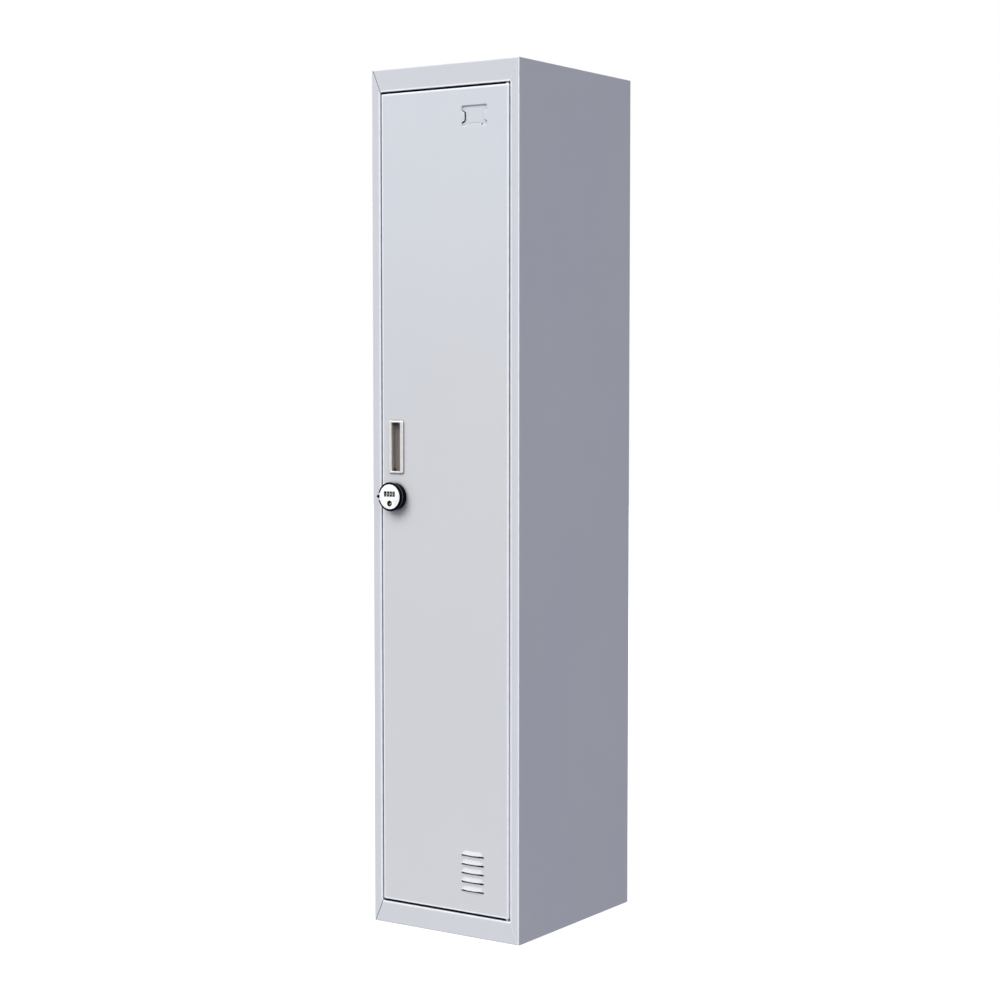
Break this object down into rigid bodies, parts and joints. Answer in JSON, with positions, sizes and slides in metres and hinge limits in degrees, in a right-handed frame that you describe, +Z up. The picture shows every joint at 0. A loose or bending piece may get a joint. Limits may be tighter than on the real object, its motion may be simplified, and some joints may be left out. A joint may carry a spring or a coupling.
{
  "type": "locker cabinet",
  "caption": "Tall narrow steel locker with a framed flush door on concealed pins, recessed pull, combination cam lock, louvres, hat shelf and hanging rod.",
  "frame": {"origin": "centre of the casing's footprint, on the floor", "axes": "+X to the viewer's right when facing the door, +Y from the door to the back, +Z up"},
  "size_m": [0.38, 0.4742, 1.85],
  "materials": {
    "casing_paint": "satin powder coat, light grey",
    "door_paint": "satin powder coat, light grey",
    "zinc": "zinc plated",
    "chrome": "polished tube",
    "nylon": "moulded nylon",
    "rubber": "soft black rubber",
    "satin_nickel": "satin nickel plated",
    "cup_plastic": "matt grey-brown",
    "dark_primer": "dark primer",
    "lock_black": "glossy black",
    "lock_face": "satin white",
    "wheel_black": "black with pale figures",
    "brass": "turned brass"
  },
  "bodies": {
    "casing": {"left_side_panel": "casing_paint", "right_side_panel": "casing_paint", "top_panel": "casing_paint", "base_panel": "casing_paint", "back_panel": "casing_paint", "back_rivets": "zinc", "corner_plates": "dark_primer", "floor_stiffener": "casing_paint", "hat_shelf": "casing_paint", "shelf_brackets": "zinc", "shelf_screws": "zinc", "hanging_rod": "chrome", "left_rod_socket": "zinc", "right_rod_socket": "zinc", "upper_hinge_pin": "zinc", "lower_hinge_pin": "zinc", "hinge_washers": "nylon", "door_buffers": "rubber"},
    "door": {"door_panel": "door_paint", "door_stiffener": "door_paint", "upper_hinge_bush": "nylon", "lower_hinge_bush": "nylon", "pull_cup": "cup_plastic", "pull_trim": "satin_nickel", "handle_clips": "zinc", "lock_housing": "lock_black", "lock_nut": "zinc"},
    "lock": {"lock_knob": "lock_black", "lock_face": "lock_face", "window_frames": "lock_black", "lock_cam": "zinc", "cam_screw": "zinc", "wheel_axle": "zinc"},
    "key_plug": {"key_plug": "brass"},
    "wheel_1": {"code_wheel_1": "wheel_black"},
    "wheel_2": {"code_wheel_2": "wheel_black"},
    "wheel_3": {"code_wheel_3": "wheel_black"},
    "wheel_4": {"code_wheel_4": "wheel_black"}
  },
  "joints": [
    {"name": "door_hinge", "type": "hinge", "parent": "casing", "child": "door", "pos_m": [0.1575, -0.2175, 0.925], "axis": [0, 0, 1], "range_deg": [0, 100]},
    {"name": "lock_turn", "type": "hinge", "parent": "door", "child": "lock", "pos_m": [-0.129, -0.225, 0.9365], "axis": [0, 1, 0], "range_deg": [0, 90]},
    {"name": "key_turn", "type": "hinge", "parent": "lock", "child": "key_plug", "pos_m": [-0.129, -0.24, 0.922], "axis": [0, 1, 0], "range_deg": [0, 90]},
    {"name": "wheel_1_spin", "type": "hinge", "parent": "lock", "child": "wheel_1", "pos_m": [-0.14025, -0.2394, 0.9425], "axis": [1, 0, 0], "continuous": true},
    {"name": "wheel_2_spin", "type": "hinge", "parent": "lock", "child": "wheel_2", "pos_m": [-0.13275, -0.2394, 0.9425], "axis": [1, 0, 0], "continuous": true},
    {"name": "wheel_3_spin", "type": "hinge", "parent": "lock", "child": "wheel_3", "pos_m": [-0.12525, -0.2394, 0.9425], "axis": [1, 0, 0], "continuous": true},
    {"name": "wheel_4_spin", "type": "hinge", "parent": "lock", "child": "wheel_4", "pos_m": [-0.11775, -0.2394, 0.9425], "axis": [1, 0, 0], "continuous": true}
  ]
}
